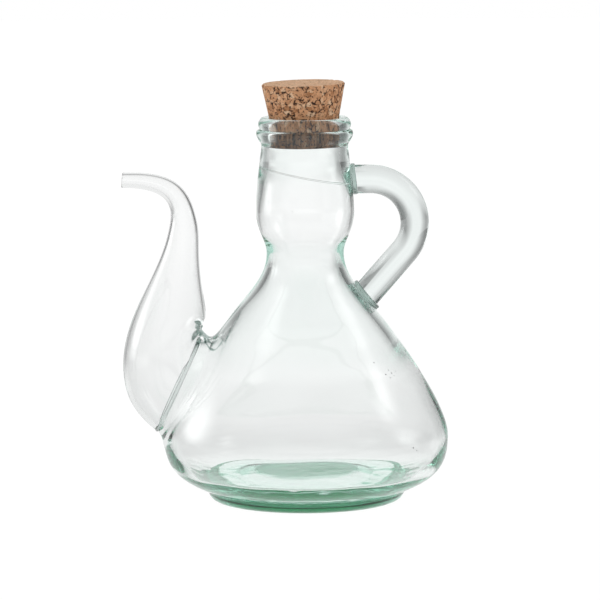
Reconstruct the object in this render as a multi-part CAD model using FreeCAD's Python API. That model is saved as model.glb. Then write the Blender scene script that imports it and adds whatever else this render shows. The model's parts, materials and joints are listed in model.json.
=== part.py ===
import FreeCAD, Part
import math
import os

from FreeCAD import Vector

# Kitchen oil bottle of recycled glass: a squat blown body with a thick base, a swan-neck spout joined on at
# the side, a bent rod handle melted on behind, and a tapered cork in the mouth.
# Millimetres. Z is the axis of the body, the foot stands on Z = 0, the spout points to -X, the handle to +X.

# Foot and underside
foot_dia = 90.6
foot_height = 4.6
foot_edge_width = 8.0
foot_edge_slope_deg = -12.0
rest_ring_width = 6.0
punt_depth = 3.5
punt_slope_deg = -115.0

# Outside of the body, from the heel above the foot to the top of the neck
heel_ledge = 1.0
heel_rise = 0.8
heel_slope_deg = -68.0
body_dia = 130.6
belly_height = 30.0
shoulder_dia = 61.6
shoulder_height = 90.2
shoulder_slope_deg = 39.0
waist_dia = 35.7
waist_height = 114.5
neck_dia = 45.3
neck_height = 133.0
collar_dia = 39.8
collar_height = 163.5
collar_slope_deg = 5.0

# Bead and lip round the mouth
bead_dia = 44.4
bead_crest = 6.0
bead_height = 7.7
groove_dia = 41.2
groove_slope_deg = 70.0
lip_dia = 42.4
lip_height = 5.4
lip_top_width = 2.0
mouth_round = 1.0

# Inside of the body
body_wall = 3.6
neck_wall = 3.4
base_thickness = 9.0
floor_dia = 84.0
floor_crown = 2.0
mouth_dia = 32.7
mouth_depth = 19.5

# How far each curve of the profile runs on along its two end directions, as shares of its span
punt_pulls = (0.55, 0.20)
foot_edge_pulls = (0.50, 0.35)
foot_top_pulls = (0.35, 0.30)
heel_pulls = (0.50, 0.42)
belly_pulls = (0.175, 0.38)
shoulder_pulls = (0.40, 0.36)
waist_pulls = (0.29, 0.42)
neck_pulls = (0.39, 0.21)
bead_pulls = (0.25, 0.45)
groove_pulls = (0.50, 0.25)
floor_pulls = (0.40, 0.40)
inner_heel_pulls = (0.34, 0.46)
inner_neck_pulls = (0.39, 0.30)

# Collar on the side of the body that carries the spout: how far it stands out of the side, and how far it
# turns down from the slope of the side
boss_height = 53.5
boss_reach = 1.6
boss_turn_deg = 4.4
boss_length = 47.0
boss_width = 40.0
boss_flare = 0.70
boss_root = 12.0
boss_wall = 3.0
boss_fillet = 4.0

# Bead of glass that joins the spout to the body
seam_thickness = 1.6
seam_proud = 0.5

# Spout
spout_rise = 94.6
spout_reach = 25.7
spout_tip_dia = 6.9
spout_root_wall = 2.0
spout_tip_wall = 1.35

# Handle and the two beads of glass that join it to the body
handle_dia = 13.2
handle_height = 148.1
handle_bend_reach = 30.0
handle_bend_radius = 20.1
handle_turn_deg = 131.0
upper_weld_dia = 14.4
upper_weld_thickness = 1.8
lower_weld_dia = 16.4
lower_weld_thickness = 1.8
weld_round = 0.6

# Cork
cork_top_dia = 38.1
cork_stand = 15.7
cork_depth = 13.0
cork_lean_deg = 1.4
cork_clearance = 0.12
cork_edge_round = 0.7

# Heights and radii that follow from the sizes above
body_radius = body_dia / 2
foot_radius = foot_dia / 2
mouth_radius = mouth_dia / 2
groove_height = collar_height + bead_height
lip_top = groove_height + lip_height
floor_height = punt_depth + base_thickness
touching = 1e-6
up = Vector(0, 0, 1)
outward = Vector(1, 0, 0)
sideways = Vector(0, 1, 0)


def at(radius, height):
    return Vector(radius, 0, height)


def slope(degrees):
    # Unit vector in the profile plane, leaning inwards from straight up
    turn = math.radians(degrees)
    return Vector(-math.sin(turn), 0, math.cos(turn))


def bend(start, leave, end, arrive, pulls):
    # Smooth edge that leaves and arrives along given directions
    span = start.distanceToPoint(end)
    curve = Part.BezierCurve()
    curve.setPoles([start, start + leave * span * pulls[0], end - arrive * span * pulls[1], end])
    return curve.toShape()


def line(start, end):
    return Part.makeLine(start, end)


def arc(start, middle, end):
    return Part.Arc(start, middle, end).toShape()


def turned(edges):
    # Closes an outline down the axis and turns it about Z
    first = edges[0].Vertexes[0].Point
    last = edges[-1].Vertexes[-1].Point
    outline = Part.Wire(edges + [line(last, first)])
    return Part.Face(outline).revolve(Vector(0, 0, 0), up, 360)


def body_side():
    # Outside of the wall from the heel to the collar, as one chain of smooth edges
    heel = at(foot_radius + heel_ledge, foot_height + heel_rise)
    belly = at(body_radius, belly_height)
    shoulder = at(shoulder_dia / 2, shoulder_height)
    waist = at(waist_dia / 2, waist_height)
    neck = at(neck_dia / 2, neck_height)
    collar = at(collar_dia / 2, collar_height)
    fall = slope(shoulder_slope_deg)
    return [
        bend(heel, slope(heel_slope_deg), belly, up, heel_pulls),
        bend(belly, up, shoulder, fall, belly_pulls),
        bend(shoulder, fall, waist, up, shoulder_pulls),
        bend(waist, up, neck, up, waist_pulls),
        bend(neck, up, collar, slope(collar_slope_deg), neck_pulls),
    ]


def foot_side():
    # Underside with its hollow punt, the flat ring that the bottle stands on, and the foot's rounded edge
    ring_outer = at(foot_radius - foot_edge_width, 0)
    ring_inner = at(foot_radius - foot_edge_width - rest_ring_width, 0)
    edge_top = at(foot_radius, foot_height)
    heel = at(foot_radius + heel_ledge, foot_height + heel_rise)
    return [
        bend(at(0, punt_depth), outward, ring_inner, slope(punt_slope_deg), punt_pulls),
        line(ring_inner, ring_outer),
        bend(ring_outer, outward, edge_top, slope(foot_edge_slope_deg), foot_edge_pulls),
        bend(edge_top, up, heel, slope(heel_slope_deg), foot_top_pulls),
    ]


def mouth_side():
    # Bead below the lip, the groove between them, and the rounded lip
    collar = at(collar_dia / 2, collar_height)
    crest = at(bead_dia / 2, collar_height + bead_crest)
    groove = at(groove_dia / 2, groove_height)
    lip_side = at(lip_dia / 2, groove_height + lip_height / 2)
    lip_edge = at(mouth_radius + mouth_round + lip_top_width, lip_top)
    return [
        bend(collar, slope(collar_slope_deg), crest, up, bead_pulls),
        bend(crest, up, groove, slope(groove_slope_deg), groove_pulls),
        arc(groove, lip_side, lip_edge),
        line(lip_edge, at(0, lip_top)),
    ]


def outside_edges():
    return foot_side() + body_side() + mouth_side()


def body_outside():
    return turned(outside_edges())


def body_cavity():
    # Room for the oil, from the crowned floor up through the neck, and the straight mouth that takes the cork
    floor_edge = at(floor_dia / 2, floor_height - floor_crown)
    belly = at(body_radius - body_wall, belly_height)
    fall = slope(shoulder_slope_deg)
    inward = Vector(-fall.z, 0, fall.x)
    shoulder = at(shoulder_dia / 2, shoulder_height) + inward * body_wall
    waist = at(waist_dia / 2 - neck_wall, waist_height)
    neck = at(neck_dia / 2 - neck_wall, neck_height)
    mouth_foot = at(mouth_radius, lip_top - mouth_depth)
    mouth_start = at(mouth_radius, lip_top - mouth_round)
    corner = mouth_round * (1 - math.sqrt(0.5))
    mouth_bend = at(mouth_radius + corner, lip_top - corner)
    mouth_end = at(mouth_radius + mouth_round, lip_top)
    edges = [
        bend(at(0, floor_height), outward, floor_edge, outward, floor_pulls),
        bend(floor_edge, outward, belly, up, inner_heel_pulls),
        bend(belly, up, shoulder, fall, belly_pulls),
        bend(shoulder, fall, waist, up, shoulder_pulls),
        bend(waist, up, neck, up, waist_pulls),
        bend(neck, up, mouth_foot, up, inner_neck_pulls),
        line(mouth_foot, mouth_start),
        arc(mouth_start, mouth_bend, mouth_end),
        line(mouth_end, mouth_end + up * mouth_round),
        line(mouth_end + up * mouth_round, at(0, lip_top + mouth_round)),
    ]
    return turned(edges)


def seat_on_body(start, direction, reach):
    # Where a straight way from outside first meets the body, and the outward normal there
    way = line(start, start + direction * reach)
    edges = [edge for edge in outside_edges() if edge.distToShape(way)[0] < touching]
    pairs = [(edge, edge.distToShape(way)[1][0][0]) for edge in edges]
    edge, seat = min(pairs, key=lambda pair: pair[1].distanceToPoint(start))
    along = edge.tangentAt(edge.Curve.parameter(seat))
    return seat, Vector(along.z, 0, -along.x)


# The seam is a flat oval: its centre, the way out of the body and the long way up the seam
side, side_normal = seat_on_body(at(body_dia, boss_height), outward * -1, body_dia)
seam_tilt = math.atan2(side_normal.z, side_normal.x) - math.radians(boss_turn_deg)
seam_centre = Vector(-side.x - boss_reach, 0, boss_height)
seam_out = Vector(-math.cos(seam_tilt), 0, math.sin(seam_tilt))
seam_up = Vector(math.sin(seam_tilt), 0, math.cos(seam_tilt))


def oval(centre, long_way, half_length, half_width):
    # A circle stretched to an oval, so that every section starts at the same place and has the same make-up
    length = long_way * half_length
    width = sideways * half_width
    normal = long_way.cross(sideways)
    stretch = FreeCAD.Matrix(
        length.x, width.x, normal.x, centre.x,
        length.y, width.y, normal.y, centre.y,
        length.z, width.z, normal.z, centre.z,
        0, 0, 0, 1,
    )
    return Part.Wire([Part.makeCircle(1).transformGeometry(stretch).Edges[0]])


def seam_oval(depth, growth):
    # Oval parallel to the seam, set back into the body by depth and larger all round by growth
    centre = seam_centre - seam_out * depth
    return oval(centre, seam_up, boss_length / 2 + growth, boss_width / 2 + growth)


def flank_of(solid):
    # The sloping side of the spout collar: the curved face that ends at the seam
    rim = Part.Vertex(seam_centre + seam_up * boss_length / 2)
    sides = [face for face in solid.Faces if not isinstance(face.Surface, Part.Plane)]
    return min(sides, key=lambda face: face.distToShape(rim)[0])


def bottle_body():
    boss = Part.makeLoft([seam_oval(0, 0), seam_oval(boss_root, boss_root * boss_flare)], True, True)
    joined = body_outside().fuse(boss)
    flank = flank_of(joined)
    roots = [edge for edge in flank.Edges if not edge.isSeam(flank)]
    roots = [edge for edge in roots if edge.CenterOfMass.distanceToPoint(seam_centre) > seam_thickness]
    blended = joined.makeFillet(boss_fillet, roots)
    bore_length = boss_root + body_wall
    bore = Part.Face(seam_oval(-seam_thickness, -boss_wall)).extrude(seam_out * -bore_length)
    return blended.cut(body_cavity()).cut(bore)


def spout_weld():
    # Ring that swells a little between the collar and the spout
    rims = [seam_oval(0, 0), seam_oval(-seam_thickness / 2, seam_proud), seam_oval(-seam_thickness, 0)]
    hole = Part.Face(seam_oval(-seam_thickness, -boss_wall)).extrude(seam_out * -seam_thickness)
    return Part.makeLoft(rims, True, False).cut(hole)


# Stations along the spout, from just above the seam to the tip: how far towards the tip, how high up, how
# wide between the tip and the seam, all as shares, and the lean of the cross-section in degrees
spout_stations = [
    (0.236, 0.086, 0.985, 47.0),
    (0.293, 0.182, 0.900, 31.7),
    (0.257, 0.256, 0.830, 21.3),
    (0.147, 0.437, 0.571, 12.4),
    (-0.027, 0.652, 0.267, 9.0),
    (-0.085, 0.750, 0.177, 3.8),
    (-0.081, 0.834, 0.110, 0.0),
    (0.104, 0.939, 0.062, 39.0),
    (0.618, 0.995, 0.027, 63.4),
    (1.000, 1.000, 0.000, 86.0),
]
spout_section_count = 28
oval_fade = 0.27


def spout_sections():
    # Even cross-sections along the spout's middle line: centre, width share, long direction and oval share
    centres = [seam_centre + seam_out * seam_thickness]
    laws = [Vector(1, math.pi / 2 - seam_tilt, 1)]
    for reach, rise, width, lean in spout_stations:
        centres.append(seam_centre + Vector(-reach * spout_reach, 0, rise * spout_rise))
        laws.append(Vector(width, math.radians(lean), max(0.0, 1 - rise / oval_fade)))
    path = Part.BSplineCurve()
    path.interpolate(centres)
    law = Part.BSplineCurve()
    law.interpolate(Points=laws, Parameters=[path.parameter(centre) for centre in centres])
    sections = []
    for centre in path.discretize(Number=spout_section_count):
        width, lean, oval_share = law.value(path.parameter(centre))
        sections.append((centre, width, Vector(math.cos(lean), 0, math.sin(lean)), oval_share))
    return sections


def spout_loft(inset, overrun):
    # Loft from the seam to the tip, thinner by inset times the wall, and longer by overrun at both ends
    tip_radius = spout_tip_dia / 2
    root_radius = boss_length / 2
    flatness = 1 - boss_width / boss_length
    wires = []
    for centre, width, across, oval_share in spout_sections():
        wall = spout_tip_wall + (spout_root_wall - spout_tip_wall) * width
        radius = tip_radius + (root_radius - tip_radius) * width
        half_width = radius * (1 - flatness * oval_share)
        wires.append(oval(centre, across, radius - inset * wall, half_width - inset * wall))
    tip_out = sideways.cross(across) * -1
    wires[0].translate(seam_out * -overrun)
    wires[-1].translate(tip_out * overrun)
    return Part.makeLoft(wires, True, False)


def spout():
    return spout_loft(0, 0).cut(spout_loft(1, seam_thickness / 2))


# The handle's bend: its middle, start, halfway and end, and the way down the leg that follows it
handle_turn = math.radians(handle_turn_deg)
bend_middle = Vector(handle_bend_reach, 0, handle_height - handle_bend_radius)
bend_ways = [Vector(math.sin(turn), 0, math.cos(turn)) for turn in (0, handle_turn / 2, handle_turn)]
bend_start, bend_half, bend_end = [bend_middle + way * handle_bend_radius for way in bend_ways]
leg = Vector(math.cos(handle_turn), 0, -math.sin(handle_turn))

# Where the handle's two ends sit, each on a bead of glass laid on the body
upper_foot, upper_normal = seat_on_body(bend_start, outward * -1, handle_bend_reach)
lower_foot, lower_normal = seat_on_body(bend_end, leg, bend_end.x / -leg.x)
upper_seat = upper_foot + upper_normal * upper_weld_thickness
lower_seat = lower_foot + lower_normal * lower_weld_thickness


def below(seat, normal):
    # Room on the body's side of a seat
    return Part.makeCylinder(handle_dia * 2, handle_dia * 2, seat, normal * -1)


def handle():
    # Round rod: a straight run from the neck, a bend, and a straight leg down to the shoulder
    start = Vector(upper_seat.x - handle_dia, 0, handle_height)
    end = bend_end + leg * ((lower_seat - bend_end).dot(leg) + handle_dia)
    path = Part.Wire([line(start, bend_start), arc(bend_start, bend_half, bend_end), line(bend_end, end)])
    section = Part.Wire([Part.makeCircle(handle_dia / 2, start, outward)])
    rod = path.makePipeShell([section], True, False)
    return rod.cut(below(upper_seat, upper_normal)).cut(below(lower_seat, lower_normal))


def weld(seat, normal, diameter, thickness):
    # Round bead of glass between an end of the handle and the body, deep enough to follow the body's curve
    bead = Part.makeCylinder(diameter / 2, thickness * 2, seat - normal * thickness * 2, normal)
    rim = [edge for edge in bead.Edges if edge.CenterOfMass.distanceToPoint(seat) < weld_round]
    return bead.makeFillet(weld_round, rim).cut(body_outside())


def handle_upper_weld():
    return weld(upper_seat, upper_normal, upper_weld_dia, upper_weld_thickness)


def handle_lower_weld():
    return weld(lower_seat, lower_normal, lower_weld_dia, lower_weld_thickness)


def cork_stopper():
    # Straight plug in the mouth, then a taper out to the top; it leans a little about the middle of the plug
    middle = lip_top - cork_depth / 2
    plug_radius = mouth_radius - cork_clearance - cork_depth / 2 * math.tan(math.radians(cork_lean_deg))
    bottom = lip_top - cork_depth
    top = lip_top + cork_stand
    outline = [
        line(at(0, bottom), at(plug_radius - cork_edge_round, bottom)),
        line(at(plug_radius - cork_edge_round, bottom), at(plug_radius, bottom + cork_edge_round)),
        line(at(plug_radius, bottom + cork_edge_round), at(plug_radius, lip_top + cork_clearance)),
        line(at(plug_radius, lip_top + cork_clearance), at(cork_top_dia / 2, top - cork_edge_round)),
        line(at(cork_top_dia / 2, top - cork_edge_round), at(cork_top_dia / 2 - cork_edge_round, top)),
        line(at(cork_top_dia / 2 - cork_edge_round, top), at(0, top)),
    ]
    cork = turned(outline)
    cork.rotate(at(0, middle), sideways, -cork_lean_deg)
    return cork


pieces = [bottle_body, spout_weld, spout, handle, handle_upper_weld, handle_lower_weld, cork_stopper]
os.makedirs("parts", exist_ok=True)
for piece in pieces:
    shape = piece()
    shape.exportStep(f"parts/{piece.__name__}.step")
    print(piece.__name__, shape.isValid(), len(shape.Solids), round(shape.Volume), len(shape.Faces))
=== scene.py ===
import bmesh
import bpy
import json
import math
import numpy as np
from mathutils import Matrix, Quaternion, Vector, noise
from mathutils.bvhtree import BVHTree


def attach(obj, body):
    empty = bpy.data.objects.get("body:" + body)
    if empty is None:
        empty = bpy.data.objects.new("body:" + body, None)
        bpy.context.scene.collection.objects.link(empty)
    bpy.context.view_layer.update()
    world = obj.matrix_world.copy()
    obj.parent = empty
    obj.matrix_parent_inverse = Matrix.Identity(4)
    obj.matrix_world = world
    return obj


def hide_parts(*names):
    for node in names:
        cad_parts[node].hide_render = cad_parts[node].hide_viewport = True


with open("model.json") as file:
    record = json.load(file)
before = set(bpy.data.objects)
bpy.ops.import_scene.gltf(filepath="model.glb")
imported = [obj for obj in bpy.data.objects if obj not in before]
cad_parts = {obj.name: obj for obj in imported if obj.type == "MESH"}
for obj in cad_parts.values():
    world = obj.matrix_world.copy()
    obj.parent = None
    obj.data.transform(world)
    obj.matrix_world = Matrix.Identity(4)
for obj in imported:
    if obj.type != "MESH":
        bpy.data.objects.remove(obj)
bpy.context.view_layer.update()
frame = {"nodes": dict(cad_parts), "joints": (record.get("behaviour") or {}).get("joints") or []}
mm = 0.001
print("frame loaded, nodes:", ", ".join(sorted(frame["nodes"])))


def linearColour(hexCode):
    parts = [int(hexCode[i:i + 2], 16) / 255 for i in (1, 3, 5)]
    return [c / 12.92 if c <= 0.04045 else ((c + 0.055) / 1.055) ** 2.4 for c in parts] + [1.0]


def addNode(tree, kind, settings={}, links={}):
    node = tree.nodes.new(kind)
    for name, value in settings.items():
        if name == "stops":         # places on a ramp with their colours
            places = sorted(value)
            stops = node.color_ramp.elements
            stops[0].position, stops[1].position = places[0], places[-1]
            for place in places[1:-1]:
                stops.new(place)
            for stop, place in zip(stops, places):
                stop.color = value[place]
        elif isinstance(name, int) or name in node.inputs:
            node.inputs[name].default_value = value
        else:
            setattr(node, name, value)
    for socket, source in links.items():
        tree.links.new(source, node.inputs[socket])
    return node


def newMaterial(name):
    material = bpy.data.materials.new(name)
    material.use_nodes = True
    material.node_tree.nodes.clear()
    return material, material.node_tree


# Recycled soda-lime glass, blown into a mould: nearly clear through one wall, sea green where it is thick,
# with faint cords and ripples left by the mould
recycledGlass = {
    "tint": "#00CFB0",          # the light that gets through best
    "tintPerMetre": 8.0,        # how strongly the rest is taken up
    "ior": 1.52,
    "roughness": 0.0,
    "rippleMm": 7.0,            # distance between ripples
    "rippleHeightMm": 0.012,
    "cordMm": 1.8,              # fine streaks in the glass
    "cordHeightMm": 0.0015,
    "threadMm": 150.4,          # height of a raised line across the front of the neck, at its middle
    "threadSlope": -0.20,
    "threadWidthMm": 0.22,
    "threadReliefMm": 0.10,
    "threadFadeMm": 4.0,        # it fades out this far in front of the axis and behind it
    "baseRoughness": 0.30,      # hammered glass of the base, dull inside this radius and below this height
    "baseRadiusMm": 24.0,
    "baseHeightMm": 12.5,
}

# The greener glass of the base: only its depth of colour shows, since it is melted into the rest
gatheredGlass = dict(recycledGlass, tint="#00D8AA", tintPerMetre=11.0, ior=1.0, baseRoughness=0.0)
pontilGlass = dict(gatheredGlass, tintPerMetre=48.0)

# Beads of the same glass melted over each joint: sea green, made far deeper and greyer than the body's glass
# as painted shade, since they are thick and lie on edge
beadShadeGlass = dict(recycledGlass, tint="#5C9C8C", tintPerMetre=70.0, baseRoughness=0.0)

# Clear glass drawn by hand in the flame: colourless through the wall, a little grey green along its edges
drawnGlass = {
    "tint": "#6FB8A8",
    "tintPerMetre": 12.0,
    "ior": 1.51,
    "roughness": 0.0,
    "rippleMm": 11.0,
    "rippleHeightMm": 0.01,
    "cordMm": 2.5,
    "cordHeightMm": 0.001,
    "baseRoughness": 0.0,
}


def addThread(tree, look, spot, under, glass):
    # The raised line across the neck
    slant = addNode(tree, "ShaderNodeMath", {"operation": "MULTIPLY_ADD", 1: -look["threadSlope"],
                                             2: -look["threadMm"] * mm}, {0: spot["X"]})
    off = addNode(tree, "ShaderNodeMath", {"operation": "ADD"}, {0: slant.outputs["Value"], 1: spot["Z"]})
    off = addNode(tree, "ShaderNodeMath", {"operation": "ABSOLUTE"}, {0: off.outputs["Value"]})
    ridge = addNode(tree, "ShaderNodeMapRange", {"interpolation_type": "SMOOTHSTEP", 1: 0.0,
                                                 2: look["threadWidthMm"] * mm, 3: 1.0, 4: 0.0},
                    {"Value": off.outputs["Value"]})
    fade = look["threadFadeMm"] * mm
    front = addNode(tree, "ShaderNodeMapRange", {1: fade, 2: -fade}, {"Value": spot["Y"]})
    ridge = addNode(tree, "ShaderNodeMath", {"operation": "MULTIPLY"},
                    {0: ridge.outputs["Result"], 1: front.outputs["Result"]})
    thread = addNode(tree, "ShaderNodeBump", {"Strength": 1.0, "Distance": look["threadReliefMm"] * mm},
                     {"Height": ridge.outputs["Value"], "Normal": under})
    tree.links.new(thread.outputs["Normal"], glass.inputs["Normal"])


def addDullBase(tree, look, spot, glass):
    # Hammered glass in the middle of the base
    radius, height = look["baseRadiusMm"], look["baseHeightMm"]
    flat = addNode(tree, "ShaderNodeCombineXYZ", {}, {"X": spot["X"], "Y": spot["Y"]})
    reach = addNode(tree, "ShaderNodeVectorMath", {"operation": "LENGTH"}, {0: flat.outputs["Vector"]})
    within = addNode(tree, "ShaderNodeMapRange",
                     {1: (radius + 1.5) * mm, 2: radius * mm, 4: look["baseRoughness"]},
                     {"Value": reach.outputs["Value"]})
    below = addNode(tree, "ShaderNodeMapRange", {1: (height + 1.0) * mm, 2: height * mm},
                    {"Value": spot["Z"]})
    dull = addNode(tree, "ShaderNodeMath", {"operation": "MULTIPLY"},
                   {0: within.outputs["Result"], 1: below.outputs["Result"]})
    tree.links.new(dull.outputs["Value"], glass.inputs["Roughness"])


def glassMaterial(name, look):
    material, tree = newMaterial(name)
    place = addNode(tree, "ShaderNodeTexCoord").outputs["Object"]
    ripple = addNode(tree, "ShaderNodeTexNoise", {"Scale": 1 / (look["rippleMm"] * mm), "Detail": 1.0},
                     {"Vector": place})
    stretch = addNode(tree, "ShaderNodeMapping", {"Scale": (1, 1, 0.25)}, {"Vector": place})   # upright cords
    cords = addNode(tree, "ShaderNodeTexNoise", {"Scale": 1 / (look["cordMm"] * mm), "Detail": 2.0},
                    {"Vector": stretch.outputs["Vector"]})
    waves = addNode(tree, "ShaderNodeBump", {"Strength": 1.0, "Distance": look["rippleHeightMm"] * mm},
                    {"Height": ripple.outputs["Fac"]})
    streaks = addNode(tree, "ShaderNodeBump", {"Strength": 1.0, "Distance": look["cordHeightMm"] * mm},
                      {"Height": cords.outputs["Fac"], "Normal": waves.outputs["Normal"]})
    glass = addNode(tree, "ShaderNodeBsdfPrincipled",
                    {"Base Color": (1, 1, 1, 1), "Roughness": look["roughness"], "IOR": look["ior"],
                     "Transmission Weight": 1.0},
                    {"Normal": streaks.outputs["Normal"]})
    if look["baseRoughness"]:       # only the blown body has the thread and the dull base
        spot = addNode(tree, "ShaderNodeSeparateXYZ", {}, {"Vector": place}).outputs
        addThread(tree, look, spot, streaks.outputs["Normal"], glass)
        addDullBase(tree, look, spot, glass)
    depth = addNode(tree, "ShaderNodeVolumeAbsorption",
                    {"Color": linearColour(look["tint"]), "Density": look["tintPerMetre"]})
    addNode(tree, "ShaderNodeOutputMaterial", {},
            {"Surface": glass.outputs["BSDF"], "Volume": depth.outputs["Volume"]})
    return material


greenGlass = glassMaterial("recycled_soda_lime_glass_mould_blown", recycledGlass)
clearGlass = glassMaterial("clear_glass_flame_drawn", drawnGlass)
gatherGlass = glassMaterial("recycled_soda_lime_glass_second_gather", gatheredGlass)
markGlass = glassMaterial("recycled_soda_lime_glass_pontil_gather", pontilGlass)
# The beads' glass is much darker than the body's: painted shade
weldShadeGlass = glassMaterial("glass_melted_bead_painted_shade", beadShadeGlass)
print("glass materials made")


def finishPiece(mesh, name, body, material, nodeName, sharpDegrees=35):
    for face in mesh.polygons:
        face.use_smooth = True
    mesh.set_sharp_from_angle(angle=math.radians(sharpDegrees))
    piece = bpy.data.objects.new(name, mesh)
    bpy.context.scene.collection.objects.link(piece)
    piece.data.materials.append(material)
    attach(piece, body)
    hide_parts(nodeName)
    print("piece", name, len(mesh.polygons), "faces")


def toMesh(bm, name):
    mesh = bpy.data.meshes.new(name)
    bm.to_mesh(mesh)
    bm.free()
    return mesh


def turnedRows(bm, line, segments, middle=(0, 0)):
    # One row of vertices for each point of a half outline, a single vertex where it meets the axis
    rows = []
    x, y = middle[:2]
    for radius, height in line:
        turns = np.arange(1 if radius < 1e-6 else segments) * 2 * math.pi / segments
        spots = [(radius * math.cos(t) + x, radius * math.sin(t) + y, height) for t in turns]
        rows.append([bm.verts.new(spot) for spot in spots])
    return rows


def joinRows(bm, rows, segments, leftOut=()):
    # Faces between neighbouring rows of a turned shape, where a row of one vertex is its pole
    for low, high in zip(rows, rows[1:]):
        for i in range(segments):
            j = (i + 1) % segments
            corners = [low[i % len(low)], low[j % len(low)], high[j % len(high)], high[i % len(high)]]
            corners = list(dict.fromkeys(corners))
            if not any(vert in leftOut for vert in corners):
                bm.faces.new(corners)


def spotsAndNormals(bm):
    bm.normal_update()
    return np.array([v.co for v in bm.verts]), np.array([v.normal for v in bm.verts])


def moveVerts(bm, spots):
    for vert, spot in zip(bm.verts, spots):
        vert.co = spot


def nodePoints(name):
    mesh = frame["nodes"][name].data
    points = np.zeros(len(mesh.vertices) * 3)
    mesh.vertices.foreach_get("co", points)
    return points.reshape(-1, 3)


def seamProfile(name):
    # Half outline of a turned node, read along its seam at y = 0 from the axis below to the axis above
    mesh = frame["nodes"][name].data
    points = nodePoints(name)
    onSeam = (abs(points[:, 1]) < 1e-6) & (points[:, 0] > -1e-6)
    spots = [tuple(p) for p in np.round(points[:, [0, 2]], 6)]
    nextTo = {}
    for edge in mesh.edges:
        a, b = edge.vertices
        if onSeam[a] and onSeam[b] and spots[a] != spots[b]:
            nextTo.setdefault(spots[a], set()).add(spots[b])
            nextTo.setdefault(spots[b], set()).add(spots[a])
    walk = [min(spot for spot in nextTo if abs(spot[0]) < 1e-6)]
    while True:
        onward = [spot for spot in nextTo[walk[-1]] if spot not in walk]
        if not onward:
            return np.array(walk)
        walk.append(onward[0])


def smoothLine(points, spacing, cornerDegrees=25):
    # Closely spaced points on a smooth curve through the given ones, with real corners kept
    steps = np.diff(points, axis=0)
    spans = np.hypot(steps[:, 0], steps[:, 1])
    ways = steps / spans[:, None]
    leave, arrive = ways.copy(), ways.copy()
    for i in range(1, len(ways)):
        if ways[i - 1] @ ways[i] > math.cos(math.radians(cornerDegrees)):
            mean = ways[i - 1] * spans[i] + ways[i] * spans[i - 1]
            leave[i] = arrive[i - 1] = mean / (spans[i] + spans[i - 1])
    line = []
    for i, span in enumerate(spans):
        count = max(1, math.ceil(span / spacing))
        for t in np.arange(count) / count:
            line.append((1 + 2 * t) * (1 - t) ** 2 * points[i] + t * (1 - t) ** 2 * span * leave[i]
                        + t * t * (3 - 2 * t) * points[i + 1] + t * t * (t - 1) * span * arrive[i])
    return np.array(line + [points[-1]])


def smoothStep(low, high, value):
    t = np.clip((value - low) / (high - low), 0, 1)
    return t * t * (3 - 2 * t)


def wave(points, pitch, seed):
    # Soft noise between -1 and 1, with bumps about one pitch across
    shift = Vector((seed * 17.3, seed * 5.1, seed * 9.7))
    return np.array([noise.noise(Vector(p) / pitch + shift) for p in points])


# The seam between body and spout, measured on the ring of glass that fills it
seam = {
    "proud": 0.5 * mm,      # how far that ring stands out
    "wall": 3.0 * mm,
    "flare": 0.70,          # how far the collar spreads for each step down
    "blend": 5.0 * mm,      # how softly it runs into the wall, growing over these distances from the rim
    "blendOver": (-0.5 * mm, 7 * mm),
    "climb": 0.3,           # share by which it runs farther up the shoulder than round the sides
    "depth": 30 * mm,       # what lies farther behind the seam has nothing to do with it
    "ahead": 40 * mm,       # start of a search for the wall, well in front of it
}
ring = frame["nodes"]["spout_weld"].data
facing = sum(face.area * np.outer(face.normal, face.normal) for face in ring.polygons)
seamOut = np.linalg.eigh(facing)[1][:, -1]
seamOut = seamOut * -np.sign(seamOut[0])
seamSide = np.array((0.0, 1.0, 0.0))
seamUp = np.cross(seamOut, seamSide)
seamUp = seamUp * np.sign(seamUp[2])
ringSpots = nodePoints("spout_weld") @ np.array([seamUp, seamSide, seamOut]).T
ringLow, ringHigh = ringSpots.min(0), ringSpots.max(0)
seamMiddle = (ringLow + ringHigh) / 2
seamCentre = seamUp * seamMiddle[0] + seamSide * seamMiddle[1] + seamOut * ringLow[2]
halfLength, halfWidth = (ringHigh - ringLow)[:2] / 2 - seam["proud"]
print("seam centre mm", np.round(seamCentre / mm, 2), "half sizes", halfLength / mm, halfWidth / mm)


def ovalSpots(angles, growth):
    return (halfLength + growth) * np.cos(angles), (halfWidth + growth) * np.sin(angles)


def collarReach(lift):
    # The collar runs farther up the shoulder than down towards the heel
    return 1 + seam["climb"] * lift


def ovalGrowth(points):
    # How far outside the seam's oval each point lies, looking straight at the seam
    off = points - seamCentre
    u, v = off @ seamUp, off @ seamSide
    share = np.sqrt((u / halfLength) ** 2 + (v / halfWidth) ** 2) + 1e-9
    return np.hypot(u, v) * (1 - 1 / share) / collarReach(u / halfLength / share)


def onSeamSide(points):
    return (points - seamCentre) @ seamOut > -seam["depth"]


def seamPoints(u, v, w):
    return seamCentre + np.outer(u, seamUp) + np.outer(v, seamSide) + np.outer(w, seamOut)


def turnedSurface(line, segments):
    # Search tree of a turned surface, to find where it lies behind the seam
    turns = np.arange(segments) * 2 * math.pi / segments
    spots = [(r * math.cos(a), r * math.sin(a), z) for r, z in line for a in turns]
    faces = []
    for i in range(len(line) - 1):
        for j in range(segments):
            k = (j + 1) % segments
            faces.append([i * segments + j, i * segments + k, (i + 1) * segments + k, (i + 1) * segments + j])
    return BVHTree.FromPolygons(spots, faces)


def wallDepth(u, v, surface):
    starts = seamPoints(u, v, np.full(len(u), seam["ahead"]))
    return np.array([seam["ahead"] - surface.ray_cast(Vector(p), -Vector(seamOut))[3] for p in starts])


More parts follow.
